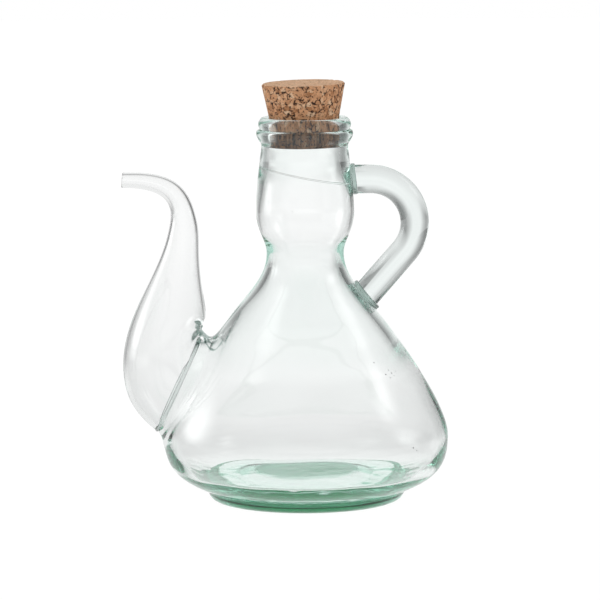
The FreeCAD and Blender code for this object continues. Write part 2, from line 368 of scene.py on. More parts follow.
# The blown body: a turned wall with a collar for the spout, its rings given by their distance in mm from the
# oval of the seam
bottle = {
    "rowSpacing": 1.1 * mm,
    "segments": 224,
    "thinner": 1.6 * mm,          # walls of about 2 mm at belly and neck, full thickness at shoulder and base
    "thinZones": ((9.4, 17, 58, 76), (106, 126, 146, 158)),   # heights in mm, from none to full and back
    "undersideBelow": 6 * mm,
    "floorBelow": 14 * mm,
    "pontilRadius": 24.0 * mm,    # shallow round mark under the base
    "pontilEdge": 1.5 * mm,
    "pontilDepth": 0.8 * mm,
    "outsideWave": (22 * mm, 0.16 * mm),      # slow waves of blown glass: distance and height
    "insideWave": (19 * mm, 0.22 * mm),
    "floorWave": (5.5 * mm, 0.20 * mm),
    "calmSeam": (1 * mm, 8 * mm),             # they die down towards the seam and the foot
    "calmFoot": (-1 * mm, 5 * mm),
    "calmLip": (150 * mm, 160 * mm, 0.85),    # and by this share towards the lip
    "collarSegments": 112,
    "collarInside": (10.5, 9.5, 8.4, 7.2, 6.0, 4.8, 3.6, 2.5, 1.5, 0.5, -0.4, -1.2, -1.9, -2.5, -2.85),
    "collarRim": ((-2.8, 0.06), (-2.4, 0), (-1.2, 0), (-0.3, 0), (-0.05, 0.08)),      # with their depth
    "collarOutside": (0.12, 0.5, 1.0, 1.6, 2.3, 3.0, 3.8, 4.7, 5.7, 6.8, 8.0, 9.2, 10.4, 11.6, 12.8, 14.0),
    "collarClear": 0.5,           # room between the last ring and the rows of the wall
}


def bottleProfile():
    # Half outline from the axis under the base, over the lip and down to the axis of the inner floor
    profile = smoothLine(seamProfile("bottle_body"), bottle["rowSpacing"])
    profile[:, 1] = np.maximum(profile[:, 1], 0)
    order = np.arange(len(profile))
    top = int(np.argmax(profile[:, 1]))
    isOutside = order <= top
    isUnder = (order < top) & (profile[:, 1] < bottle["undersideBelow"])
    edge = bottle["pontilRadius"]
    hollow = 1 - smoothStep(edge - bottle["pontilEdge"], edge, profile[:, 0])
    profile[isUnder, 1] += (hollow * bottle["pontilDepth"])[isUnder]
    ways = np.gradient(profile, axis=0)
    outward = np.column_stack((-ways[:, 1], ways[:, 0])) / np.hypot(ways[:, 0], ways[:, 1])[:, None]
    thin = np.zeros(len(profile))
    for start, full, fade, end in np.array(bottle["thinZones"]) * mm:
        thin += smoothStep(start, full, profile[:, 1]) * (1 - smoothStep(fade, end, profile[:, 1]))
    profile += outward * (thin * ~isOutside * bottle["thinner"])[:, None]
    return profile, isOutside, isUnder


def collarRings(insideWall, outsideWall):
    # From the inner wall through the bore, then over the rim and down to the outer wall
    angles = np.arange(bottle["collarSegments"]) * 2 * math.pi / bottle["collarSegments"]

    def flankRing(out, edge, surface):
        growth = out * mm * (collarReach(np.cos(angles)) if out > 0 else 1)
        u, v = ovalSpots(angles, growth)
        wall = wallDepth(u, v, surface)
        flank = -(growth - edge) / seam["flare"]
        blend = seam["blend"] * smoothStep(*seam["blendOver"], out * mm - edge)
        near = np.maximum(blend - abs(wall - flank), 0) / blend
        return seamPoints(u, v, np.maximum(wall, flank) + near ** 2 * blend / 4)

    bore = [flankRing(out, -seam["wall"], insideWall) for out in bottle["collarInside"]]
    rim = []
    for out, depth in bottle["collarRim"]:
        u, v = ovalSpots(angles, out * mm)
        rim.append(seamPoints(u, v, np.full(len(u), -depth * mm)))
    return bore, rim + [flankRing(out, 0, outsideWall) for out in bottle["collarOutside"]]


def blownWaves(points, inner):
    # Slow waves, stronger inside, none where the spout is joined on or the bottle stands
    height = points[:, 2]
    low, high, share = bottle["calmLip"]
    calm = smoothStep(*bottle["calmSeam"], ovalGrowth(points)) + ~onSeamSide(points)
    calm = np.minimum(calm, 1) * smoothStep(*bottle["calmFoot"], height)
    calm = calm * (1 - smoothStep(low, high, height) * share)
    pitch, size = bottle["outsideWave"]
    move = np.where(inner, 0, np.minimum(wave(points, pitch, 1) - 1, 0) * size)
    for chosen, (pitch, size), seed in ((inner, bottle["insideWave"], 2),
                                        (inner & (height < bottle["floorBelow"]), bottle["floorWave"], 3)):
        move += np.where(chosen, wave(points, pitch, seed) * size, 0)
    return move * calm


def buildBottle():
    profile, isOutside, isUnder = bottleProfile()
    bm = bmesh.new()
    isInner = bm.verts.layers.int.new("inner")
    rows = turnedRows(bm, profile, bottle["segments"])
    for row, outside in zip(rows, isOutside):
        for vert in row:
            vert[isInner] = not outside
    points = np.array([v.co for v in bm.verts])
    inner = np.array([v[isInner] for v in bm.verts], bool)
    limit = np.where(inner, bottle["collarInside"][0], bottle["collarOutside"][-1]) + bottle["collarClear"]
    removed = onSeamSide(points) & (ovalGrowth(points) < limit * mm)
    joinRows(bm, rows, bottle["segments"], {vert for vert, gone in zip(bm.verts, removed) if gone})
    bmesh.ops.delete(bm, geom=[v for v in bm.verts if not v.link_faces], context="VERTS")
    holeEdges = [e for e in bm.edges if len(e.link_faces) == 1]

    # Collar round the seam, and the strips of faces between it and the wall
    insideWall = turnedSurface(profile[~isOutside][:-1], bottle["segments"])
    outsideWall = turnedSurface(profile[isOutside][1:], bottle["segments"])
    bore, flank = [[[bm.verts.new(p) for p in ring] for ring in rings]
                   for rings in collarRings(insideWall, outsideWall)]
    for vert in sum(bore, []):
        vert[isInner] = 1
    joinRows(bm, bore + flank, bottle["collarSegments"])
    for border in (bore[0], flank[-1]):
        side = border[0][isInner]
        edges = [bm.edges.get((border[i], border[i - 1])) for i in range(len(border))]
        edges += [edge for edge in holeEdges if edge.verts[0][isInner] == side]
        filled = bmesh.ops.triangle_fill(bm, use_beauty=True, edges=edges, normal=seamOut)["geom"]
        strip = [item for item in filled if isinstance(item, bmesh.types.BMFace)]
        within = dict.fromkeys(edge for face in strip for edge in face.edges if edge not in edges)
        bmesh.ops.beautify_fill(bm, faces=strip, edges=list(within), method="ANGLE")
    bmesh.ops.recalc_face_normals(bm, faces=bm.faces)

    points, normals = spotsAndNormals(bm)
    inner = np.array([v[isInner] for v in bm.verts], bool)
    moveVerts(bm, points + normals * blownWaves(points, inner)[:, None])
    isFloor = ~isOutside & (profile[:, 1] < bottle["floorBelow"])
    return toMesh(bm, "bottle_glass"), profile[isUnder], profile[isFloor]


bottleMesh, underside, floorLine = buildBottle()
finishPiece(bottleMesh, "bottle_glass", "bottle", greenGlass, "bottle_body")

glassWall = BVHTree.FromPolygons([v.co for v in bottleMesh.vertices],
                                 [list(face.vertices) for face in bottleMesh.polygons])


def frontWall(x, z):
    # Where a straight look from the front meets the glass, and which way it faces there
    return glassWall.ray_cast(Vector((x, -200 * mm, z)), Vector((0, 1, 0)))[:2]


# Specks of soot and stone shut in the glass when it was melted: tiny dark dots, placed by x and height in mm
seeds = {
    "colour": "#2A2C28", "roughness": 0.7, "radius": 0.24 * mm, "depth": 0.8 * mm,
    "spots": ((-5.9, 135.5), (37.6, 64.6), (39.0, 63.2), (40.2, 62.0), (38.4, 61.4), (36.4, 63.0),
              (41.0, 63.6), (31.0, 68.5), (48.6, 30.5), (50.2, 29.0)),
}


def buildSeeds():
    bm = bmesh.new()
    for i, (x, z) in enumerate(seeds["spots"]):
        spot, normal = frontWall(x * mm, z * mm)
        size = seeds["radius"] * (0.7 + 0.6 * (i * 0.37 % 1))      # no two alike
        bmesh.ops.create_icosphere(bm, subdivisions=2, radius=size,
                                   matrix=Matrix.Translation(spot - normal * seeds["depth"]))
    return toMesh(bm, "glass_specks")


def speckMaterial():
    material, tree = newMaterial("soot_speck_in_glass")
    soot = addNode(tree, "ShaderNodeBsdfPrincipled",
                   {"Base Color": linearColour(seeds["colour"]), "Roughness": seeds["roughness"]})
    addNode(tree, "ShaderNodeOutputMaterial", {}, {"Surface": soot.outputs["BSDF"]})
    return material


finishPiece(buildSeeds(), "glass_specks", "bottle", speckMaterial(), "bottle_body")

# The base was gathered twice and is greener: cores of stronger colour melted into its glass, with no edge of
# their own
baseCores = {
    "segments": 96, "steps": 26,
    "edgePitch": 9 * mm,                          # distance between the lobes of a ragged edge
    "dentPitch": 4 * mm, "dent": 0.4 * mm,
    "gathers": {                                  # radius, inset, raggedness, glass
        "base_gather": (43.5 * mm, 0.7 * mm, 0.0, gatherGlass),
        "pontil_gather": (24.0 * mm, 1.3 * mm, 1.6 * mm, markGlass),
    },
}


def buildCore(name, reach, inset, ragged, seed):
    floorOrder = floorLine[np.argsort(floorLine[:, 0])]
    radii = np.linspace(0, reach, baseCores["steps"])
    low = np.interp(radii, underside[:, 0], underside[:, 1]) + inset
    high = np.interp(radii, floorOrder[:, 0], floorOrder[:, 1]) - inset
    bm = bmesh.new()
    outline = list(zip(radii, low)) + list(zip(radii[::-1], high[::-1]))
    joinRows(bm, turnedRows(bm, outline, baseCores["segments"]), baseCores["segments"])
    points = np.array([v.co for v in bm.verts])
    share = 1 + wave(points * (1, 1, 0), baseCores["edgePitch"], seed) * ragged / reach
    dent = wave(points, baseCores["dentPitch"], seed + 1) * baseCores["dent"]
    moveVerts(bm, np.column_stack((points[:, :2] * share[:, None], points[:, 2] + dent)))
    bmesh.ops.recalc_face_normals(bm, faces=bm.faces)
    return toMesh(bm, name)


for seed, (name, (reach, inset, ragged, material)) in enumerate(baseCores["gathers"].items(), 11):
    core = buildCore(name, reach, inset, ragged, seed)
    finishPiece(core, name, "bottle", material, "bottle_body")


# The handle and the beads keep the shape of their nodes: glass, slot, distance and height of their slow waves
joints = {
    "gap": 0.06 * mm,           # pieces of glass stand this far apart, so that they don't share a face
    "oneSpot": 0.002 * mm,      # vertices of a node closer than this are one
    "pieces": {
        "spout_weld": (weldShadeGlass, "green_glass", 9 * mm, 0.04 * mm),
        "handle": (clearGlass, "clear_glass", 16 * mm, 0.08 * mm),
        "handle_upper_weld": (weldShadeGlass, "green_glass", 9 * mm, 0.05 * mm),
        "handle_lower_weld": (weldShadeGlass, "green_glass", 9 * mm, 0.05 * mm),
    },
}


def nodeCopy(name, pitch, height):
    bm = bmesh.new()
    bm.from_mesh(frame["nodes"][name].data)
    bmesh.ops.remove_doubles(bm, verts=bm.verts, dist=joints["oneSpot"])
    points, normals = spotsAndNormals(bm)
    move = wave(points, pitch, len(name)) * height - joints["gap"]
    moveVerts(bm, points + normals * move[:, None])
    return toMesh(bm, name + "_glass")


for nodeName, (material, slot, pitch, height) in joints["pieces"].items():
    finishPiece(nodeCopy(nodeName, pitch, height), nodeName + "_glass", "bottle", material, nodeName)


# The spout: stations as shares of its reach, rise and width, with the lean of the cross-section in degrees
spout = {
    "reach": 25.7 * mm, "rise": 94.6 * mm, "tipRadius": 3.45 * mm, "rootWall": 2.0 * mm, "tipWall": 1.1 * mm,
    "ovalFade": 0.27,           # share of the rise over which the oval turns round
    "sections": 96, "segments": 96,
    "skin": 0.02,               # share of the wall by which the outside is drawn in
    "tip": ((0.02, 0.25), (0.12, 0.08), (0.3, 0), (0.7, 0), (0.9, 0.1), (1, 0.3)),   # share of wall, depth mm
    "wave": (24 * mm, 0.05 * mm), "calm": (2 * mm, 12 * mm),      # slow waves that die down towards the seam
    "stations": ((0.236, 0.086, 0.985, 47.0), (0.293, 0.182, 0.900, 31.7), (0.257, 0.256, 0.830, 21.3),
                 (0.147, 0.437, 0.571, 12.4), (-0.027, 0.652, 0.267, 9.0), (-0.085, 0.750, 0.177, 3.8),
                 (-0.081, 0.834, 0.110, 0.0), (0.104, 0.939, 0.062, 39.0), (0.618, 0.995, 0.027, 63.4),
                 (1.000, 1.000, 0.000, 86.0)),
}


def splineThrough(knots, values, at):
    # Natural cubic curve through the values
    gaps = np.diff(knots)
    system = np.eye(len(knots))
    bends = np.zeros_like(values)
    for i in range(1, len(knots) - 1):
        system[i, i - 1:i + 2] = gaps[i - 1] / 6, (gaps[i - 1] + gaps[i]) / 3, gaps[i] / 6
        bends[i] = (values[i + 1] - values[i]) / gaps[i] - (values[i] - values[i - 1]) / gaps[i - 1]
    bends = np.linalg.solve(system, bends)
    k = np.clip(np.searchsorted(knots, at) - 1, 0, len(gaps) - 1)
    h = gaps[k][:, None]
    b = ((at - knots[k]) / gaps[k])[:, None]
    a = 1 - b
    bow = ((a ** 3 - a) * bends[k] + (b ** 3 - b) * bends[k + 1]) * h * h / 6
    return a * values[k] + b * values[k + 1] + bow


def buildSpout():
    tilt = math.atan2(seamOut[2], -seamOut[0])
    root = seamCentre + seamOut * (ringHigh[2] - ringLow[2] + joints["gap"])
    knots = [(*root, 1.0, math.pi / 2 - tilt, 1.0)]
    for reach, rise, width, lean in spout["stations"]:
        spot = seamCentre + np.array((-reach * spout["reach"], 0, rise * spout["rise"]))
        knots.append((*spot, width, math.radians(lean), max(0, 1 - rise / spout["ovalFade"])))
    knots = np.array(knots)
    along = np.concatenate(([0], np.cumsum(np.linalg.norm(np.diff(knots[:, :3], axis=0), axis=1))))
    stations = splineThrough(along, knots, np.linspace(0, along[-1], spout["sections"]))
    angles = np.arange(spout["segments"]) * 2 * math.pi / spout["segments"]

    def section(station, inset, onward=0):
        width, lean, oval = station[3:]
        wall = spout["tipWall"] + (spout["rootWall"] - spout["tipWall"]) * max(0, width) ** 3
        radius = spout["tipRadius"] + (halfLength - spout["tipRadius"]) * width
        half = radius * (1 - (1 - halfWidth / halfLength) * oval)
        across = np.array((math.cos(lean), 0, math.sin(lean)))
        forward = np.array((-math.sin(lean), 0, math.cos(lean)))
        return (station[:3] + forward * onward + np.outer(np.cos(angles) * (radius - inset * wall), across)
                + np.outer(np.sin(angles) * (half - inset * wall), seamSide))

    outer = [section(s, spout["skin"]) for s in stations[:-1]]
    inner = [section(s, 1) for s in stations[:-1]]
    tip = [section(stations[-1], share, -depth * mm) for share, depth in spout["tip"]]
    rings = [section(stations[0], 0.5)] + outer + tip + inner[::-1]
    bm = bmesh.new()
    rows = [[bm.verts.new(p) for p in ring] for ring in rings]
    joinRows(bm, rows + rows[:1], spout["segments"])
    bmesh.ops.recalc_face_normals(bm, faces=bm.faces)
    points, normals = spotsAndNormals(bm)
    pitch, height = spout["wave"]
    calm = smoothStep(*spout["calm"], (points - root) @ seamOut)
    moveVerts(bm, points - normals * ((1 + wave(points, pitch, 8)) * height * calm)[:, None])
    return toMesh(bm, "spout_glass")


finishPiece(buildSpout(), "spout_glass", "bottle", clearGlass, "spout")

# Painted shade: threads of nearly black green glass at the top of the seam where the spout was pressed on,
# laid where the glass
# looks dark by refraction: some in the crotch, others in the front wall of the collar (x and height of each
# bend in mm, then half the thickness)
seamShadeGlass = dict(gatheredGlass, tint="#3C8474", tintPerMetre=600.0)
seamShadeMaterial = glassMaterial("glass_painted_seam_shade", seamShadeGlass)
seamShadeLines = {
    "segments": 12, "rows": 48,
    "depth": 0.7 * mm,          # how far inside the front wall
    "inCrotch": ((((-48.0, 78.6), (-45.6, 75.7), (-41.8, 75.0), (-37.6, 76.9), (-34.0, 81.0), (-30.4, 86.6),
                   (-27.2, 91.8)), 1.15),
                 (((-49.2, 83.2), (-49.0, 80.2), (-48.0, 75.6)), 1.7)),
    "inWall": ((((-46.8, 77.2), (-45.4, 73.6), (-42.2, 71.6), (-39.2, 73.8), (-36.8, 77.4)), 0.55),
               (((-46.0, 77.4), (-44.2, 74.4), (-41.8, 74.0), (-39.4, 76.8)), 0.45),
               (((-36.6, 74.8), (-35.4, 78.0), (-33.8, 82.0)), 0.45)),
}


def addShadeThread(bm, line, at, thickness):
    # A lumpy thread of glass along the line, round at both ends
    turns = np.arange(seamShadeLines["segments"]) * 2 * math.pi / seamShadeLines["segments"]
    ways = np.gradient(line, axis=0)
    ways /= np.linalg.norm(ways, axis=1)[:, None]
    side = np.cross(ways, (0, 1, 0))
    side /= np.linalg.norm(side, axis=1)[:, None]
    over = np.cross(side, ways)
    swell = thickness * mm * (np.clip(1 - (2 * at - 1) ** 4, 0.03, 1)) ** 0.5 * (1 + 0.25 * np.sin(at * 17))
    rows = [[bm.verts.new(line[0])]]
    for spot, s, o, r in zip(line, side, over, swell):
        rows.append([bm.verts.new(spot + r * (math.cos(a) * s + math.sin(a) * o)) for a in turns])
    rows.append([bm.verts.new(line[-1])])
    joinRows(bm, rows, seamShadeLines["segments"])


def buildSeamShade():
    bm = bmesh.new()
    at = np.linspace(0, 1, seamShadeLines["rows"])
    for place in ("inCrotch", "inWall"):
        for path, thickness in seamShadeLines[place]:
            bends = np.array([(x * mm, 0, z * mm) for x, z in path])
            line = splineThrough(np.linspace(0, 1, len(path)), bends, at)
            for spot in line if place == "inWall" else ():
                hit = frontWall(spot[0], spot[2])[0]
                spot[1] = hit.y + seamShadeLines["depth"] if hit else 0
            addShadeThread(bm, line, at, thickness)
    bmesh.ops.recalc_face_normals(bm, faces=bm.faces)
    return toMesh(bm, "seam_painted_shade")


# Painted shade at the top of the seam: the dark threads of glass
finishPiece(buildSeamShade(), "seam_painted_shade", "bottle", seamShadeMaterial, "spout_weld")

# Pressed cork: granules of bark glued into a block and turned, so the side shows cut grains of several tans,
# dark bark specks and open pits
pressedCork = {
    "pale": "#EDC6A2", "tan": "#DCA47A", "brown": "#B37C54", "bark": "#2E1B12",
    "granuleMm": 2.0,
    "wanderMm": 2.0,            # how far apart the bends in a granule's edge are
    "wander": 0.0012,
    "grainMm": 0.5,
    "speckMm": 1.0,
    "speckLevels": (0.575, 0.63),
    "crack": 0.16,              # share of a granule's edge that is an open dark crack
    "crackLevels": (0.50, 0.58),
    "paintedTopLight": 0.55,            # how much paler the faces looking up are: painted light
    "neckShadeBelowMm": 171.5,   # painted shade: the part held in the mouth is darker and streaked along its length
    "streakMm": 1.3,
    "neckShadeTones": (0.16, 0.68),
    "reliefMm": 0.15,
    "roughness": 0.85,
    "ior": 1.4,
}


def corkMaterial():
    material, tree = newMaterial("pressed_cork_granulate_turned")
    look = pressedCork
    place = addNode(tree, "ShaderNodeTexCoord").outputs["Object"]
    bent = addNode(tree, "ShaderNodeTexNoise", {"Scale": 1 / (look["wanderMm"] * mm), "Detail": 3.0},
                   {"Vector": place})
    shifted = addNode(tree, "ShaderNodeMix",
                      {"data_type": "RGBA", "blend_type": "LINEAR_LIGHT", 0: look["wander"]},
                      {6: place, 7: bent.outputs["Color"]})

    # Granules, each with its own tan, and fine grain over them
    granuleScale = 1 / (look["granuleMm"] * mm)
    granules = addNode(tree, "ShaderNodeTexVoronoi", {"Scale": granuleScale}, {"Vector": shifted.outputs[2]})
    shade = addNode(tree, "ShaderNodeSeparateColor", {}, {"Color": granules.outputs["Color"]})
    brown, tan, pale = [linearColour(look[name]) for name in ("brown", "tan", "pale")]
    tone = addNode(tree, "ShaderNodeValToRGB", {"stops": {0: brown, 0.35: tan, 0.75: tan, 1: pale}},
                   {"Fac": shade.outputs["Red"]})
    grain = addNode(tree, "ShaderNodeTexNoise", {"Scale": 1 / (look["grainMm"] * mm), "Detail": 4.0},
                    {"Vector": place})
    grainTone = addNode(tree, "ShaderNodeMapRange", {1: 0.3, 2: 0.75, 3: 0.72, 4: 1.12},
                        {"Value": grain.outputs["Fac"]})
    colour = addNode(tree, "ShaderNodeMix", {"data_type": "RGBA", "blend_type": "MULTIPLY", 0: 1.0},
                     {6: tone.outputs["Color"], 7: grainTone.outputs["Result"]})

    # Specks of bark and cracks between the granules
    bark = linearColour(look["bark"])
    specks = addNode(tree, "ShaderNodeTexNoise", {"Scale": 1 / (look["speckMm"] * mm), "Detail": 3.0,
                                                 "Roughness": 0.6}, {"Vector": shifted.outputs[2]})
    low, high = look["speckLevels"]
    speckMask = addNode(tree, "ShaderNodeMapRange", {1: low, 2: high}, {"Value": specks.outputs["Fac"]})
    colour = addNode(tree, "ShaderNodeMix", {"data_type": "RGBA", 7: bark},
                     {0: speckMask.outputs["Result"], 6: colour.outputs[2]})
    borders = addNode(tree, "ShaderNodeTexVoronoi", {"feature": "DISTANCE_TO_EDGE", "Scale": granuleScale},
                      {"Vector": shifted.outputs[2]})
    crack = addNode(tree, "ShaderNodeMapRange", {1: look["crack"], 2: look["crack"] * 0.3},
                    {"Value": borders.outputs["Distance"]})
    low, high = look["crackLevels"]
    gaping = addNode(tree, "ShaderNodeMapRange", {1: low, 2: high}, {"Value": bent.outputs["Fac"]})
    crackMask = addNode(tree, "ShaderNodeMath", {"operation": "MULTIPLY"},
                        {0: crack.outputs["Result"], 1: gaping.outputs["Result"]})
    colour = addNode(tree, "ShaderNodeMix", {"data_type": "RGBA", 7: bark},
                     {0: crackMask.outputs["Value"], 6: colour.outputs[2]})

    # Painted light: faces looking up are paler. Painted shade: the part held in the mouth is darker, with
    # long dark streaks for the neck's rippled glass
    facing = addNode(tree, "ShaderNodeSeparateXYZ", {},
                     {"Vector": addNode(tree, "ShaderNodeTexCoord").outputs["Normal"]})
    upward = addNode(tree, "ShaderNodeMapRange", {1: 0.7, 2: 0.9, 4: look["paintedTopLight"]},
                     {"Value": facing.outputs["Z"]})
    colour = addNode(tree, "ShaderNodeMix", {"data_type": "RGBA", 7: pale},
                     {0: upward.outputs["Result"], 6: colour.outputs[2]})
    tall = addNode(tree, "ShaderNodeMapping", {"Scale": (1, 1, 0.06)}, {"Vector": place})
    streaks = addNode(tree, "ShaderNodeTexNoise", {"Scale": 1 / (look["streakMm"] * mm), "Detail": 3.0},
                      {"Vector": tall.outputs["Vector"]})
    dark, light = look["neckShadeTones"]
    neckShadeTone = addNode(tree, "ShaderNodeMapRange", {1: 0.36, 2: 0.66, 3: dark, 4: light},
                         {"Value": streaks.outputs["Fac"]})
    height = addNode(tree, "ShaderNodeSeparateXYZ", {}, {"Vector": place})
    neckShade = addNode(tree, "ShaderNodeMapRange", {1: (look["neckShadeBelowMm"] + 1) * mm,
                                                    2: look["neckShadeBelowMm"] * mm},
                       {"Value": height.outputs["Z"]})
    colour = addNode(tree, "ShaderNodeMix", {"data_type": "RGBA", "blend_type": "MULTIPLY"},
                     {0: neckShade.outputs["Result"], 6: colour.outputs[2], 7: neckShadeTone.outputs["Result"]})

    # Specks and cracks lie lower than the grain
    sunk = addNode(tree, "ShaderNodeMath", {"operation": "MAXIMUM"},
                   {0: speckMask.outputs["Result"], 1: crackMask.outputs["Value"]})
    relief = addNode(tree, "ShaderNodeMath", {"operation": "SUBTRACT"},
                     {0: grain.outputs["Fac"], 1: sunk.outputs["Value"]})
    bump = addNode(tree, "ShaderNodeBump", {"Strength": 0.8, "Distance": look["reliefMm"] * mm},
                   {"Height": relief.outputs["Value"]})
    cork = addNode(tree, "ShaderNodeBsdfPrincipled", {"Roughness": look["roughness"], "IOR": look["ior"]},
                   {"Base Color": colour.outputs[2], "Normal": bump.outputs["Normal"]})
    addNode(tree, "ShaderNodeOutputMaterial", {}, {"Surface": cork.outputs["BSDF"]})
    return material


# The stopper: its outline is read from its node, then pitted and slightly lumpy
stopper = {
    "segments": 240, "rowSpacing": 0.55 * mm, "cornerDegrees": 5,
    "sideFrom": 8 * mm,         # points of the node farther out than this belong to its side
    "oneSpot": 0.02 * mm,
    "pitPitch": 2.3 * mm, "pitDepth": 0.45 * mm, "pitLevels": (0.28, 0.5),
    "lumpPitch": 3.5 * mm, "lumpHeight": 0.05 * mm,
}


def buildCork():
    axis = Vector(frame["joints"][0]["axis"]).normalized()
    lean = Vector((0, 0, 1)).rotation_difference(axis).to_matrix()
    local = nodePoints("cork_stopper") @ np.array(lean)
    middle = (local.min(0) + local.max(0)) / 2
    radii = np.hypot(local[:, 0] - middle[0], local[:, 1] - middle[1])
    corners = sorted({(round(h, 5), round(r, 5)) for h, r in zip(local[:, 2], radii)
                      if r > stopper["sideFrom"]})
    outline = np.array([(0, corners[0][0])] + [(r, h) for h, r in corners] + [(0, corners[-1][0])])
    apart = np.hypot(*np.diff(outline, axis=0).T) > stopper["oneSpot"]
    outline = outline[np.concatenate(([True], apart))]
    line = smoothLine(outline, stopper["rowSpacing"], stopper["cornerDegrees"])
    bm = bmesh.new()
    joinRows(bm, turnedRows(bm, line, stopper["segments"], middle), stopper["segments"])
    bmesh.ops.recalc_face_normals(bm, faces=bm.faces)
    points, normals = spotsAndNormals(bm)
    pits = smoothStep(*stopper["pitLevels"], wave(points, stopper["pitPitch"], 5)) * stopper["pitDepth"]
    lumps = (wave(points, stopper["lumpPitch"], 6) - 1) * stopper["lumpHeight"]
    moveVerts(bm, [lean @ Vector(p) for p in points + normals * (lumps - pits)[:, None]])
    return toMesh(bm, "cork")


finishPiece(buildCork(), "cork", "stopper", corkMaterial(), "cork_stopper", 60)


# White studio: bright behind the bottle, falling off to both sides and overhead, so that the glass gets edges
studio = {
    "floorRadius": 3.0,
    "floorDrop": 0.2 * mm,        # just under the foot, so that the two don't share a face
    "floorColour": "#F4F4F2",
    "floorGlow": 0.95,            # share of the floor that is plain white, so that only a faint shadow stays
    # Brightness of the room by turn in degrees, 0 straight behind the bottle, and of the floor far from it
    "around": {-180: 1.0, -158: 0.95, -140: 0.72, -118: 0.48, -90: 0.40, -70: 0.26, -50: 0.20, -36: 0.26,
               -24: 0.50, -15: 0.86, -9: 1.0, 8: 1.0, 14: 0.80, 22: 0.44, 32: 0.24, 45: 0.17, 65: 0.18,
               90: 0.38, 118: 0.48, 140: 0.72, 158: 0.95, 180: 1.0},
    "floorAround": {-180: 0.54, -131: 0.54, -125: 1.0, -90: 0.80, -60: 0.52, -38: 0.40, -24: 0.62, -14: 0.95,
                    -9: 1.0, 8: 1.0, 18: 0.66, 30: 0.36, 45: 0.36, 70: 0.55, 105: 0.95, 136: 1.0, 142: 0.54,
                    180: 0.54},
    # Brightness of the room by rise in degrees, and of the floor by distance in metres
    "upward": {-90: 1.0, 8: 1.0, 14: 0.90, 22: 0.78, 35: 0.60, 55: 0.40, 90: 0.30},
    "openAbove": (0.25, 0.85, 0.85),   # overhead the sides open up: from and to this height, by this share
    # The floor is softly darker near the bottle: a painted shadow, seen only in the glass
    "nearby": {0.03: 1.0, 0.06: 0.98, 0.1: 0.86, 0.14: 0.84, 0.2: 0.87, 0.35: 0.92, 0.6: 0.97, 1.0: 1.0},
    "plainWithin": (0.25, 0.60),  # close to the bottle the floor is the same all round
    "fillForColour": 0.80,        # even light for dull surfaces such as the cork
    "cameraWhite": 1.04,          # what the camera sees of the floor's glow
    "aim": (0, 0, 90 * mm),
    "softboxes": {                # turn and rise in degrees, distance, width, height, radiance, soft edge
        "softbox_left": (-104, 10, 1.0, 0.85, 0.75, 2.6, 0.48),
        "softbox_left_above": (-80, 54, 1.0, 0.55, 0.45, 1.1, 0.45),
        "softbox_right": (86, 32, 1.0, 0.55, 0.45, 1.7, 0.45),
        "softbox_right_above": (102, 46, 1.0, 0.50, 0.40, 1.1, 0.45),
    },
}


def greys(levels):
    return {place: (level, level, level, 1) for place, level in levels.items()}


def aroundLevel(tree, parts, levels):
    # Brightness by compass direction, 0 straight behind the bottle and positive to its right
    turn = addNode(tree, "ShaderNodeMath", {"operation": "ARCTAN2"}, {0: parts["X"], 1: parts["Y"]})
    share = addNode(tree, "ShaderNodeMath", {"operation": "MULTIPLY_ADD", 1: 0.5 / math.pi, 2: 0.5},
                    {0: turn.outputs["Value"]})
    stops = greys({degrees / 360 + 0.5: level for degrees, level in levels.items()})
    ramp = addNode(tree, "ShaderNodeValToRGB", {"stops": stops}, {"Fac": share.outputs["Value"]})
    return ramp.outputs["Color"]


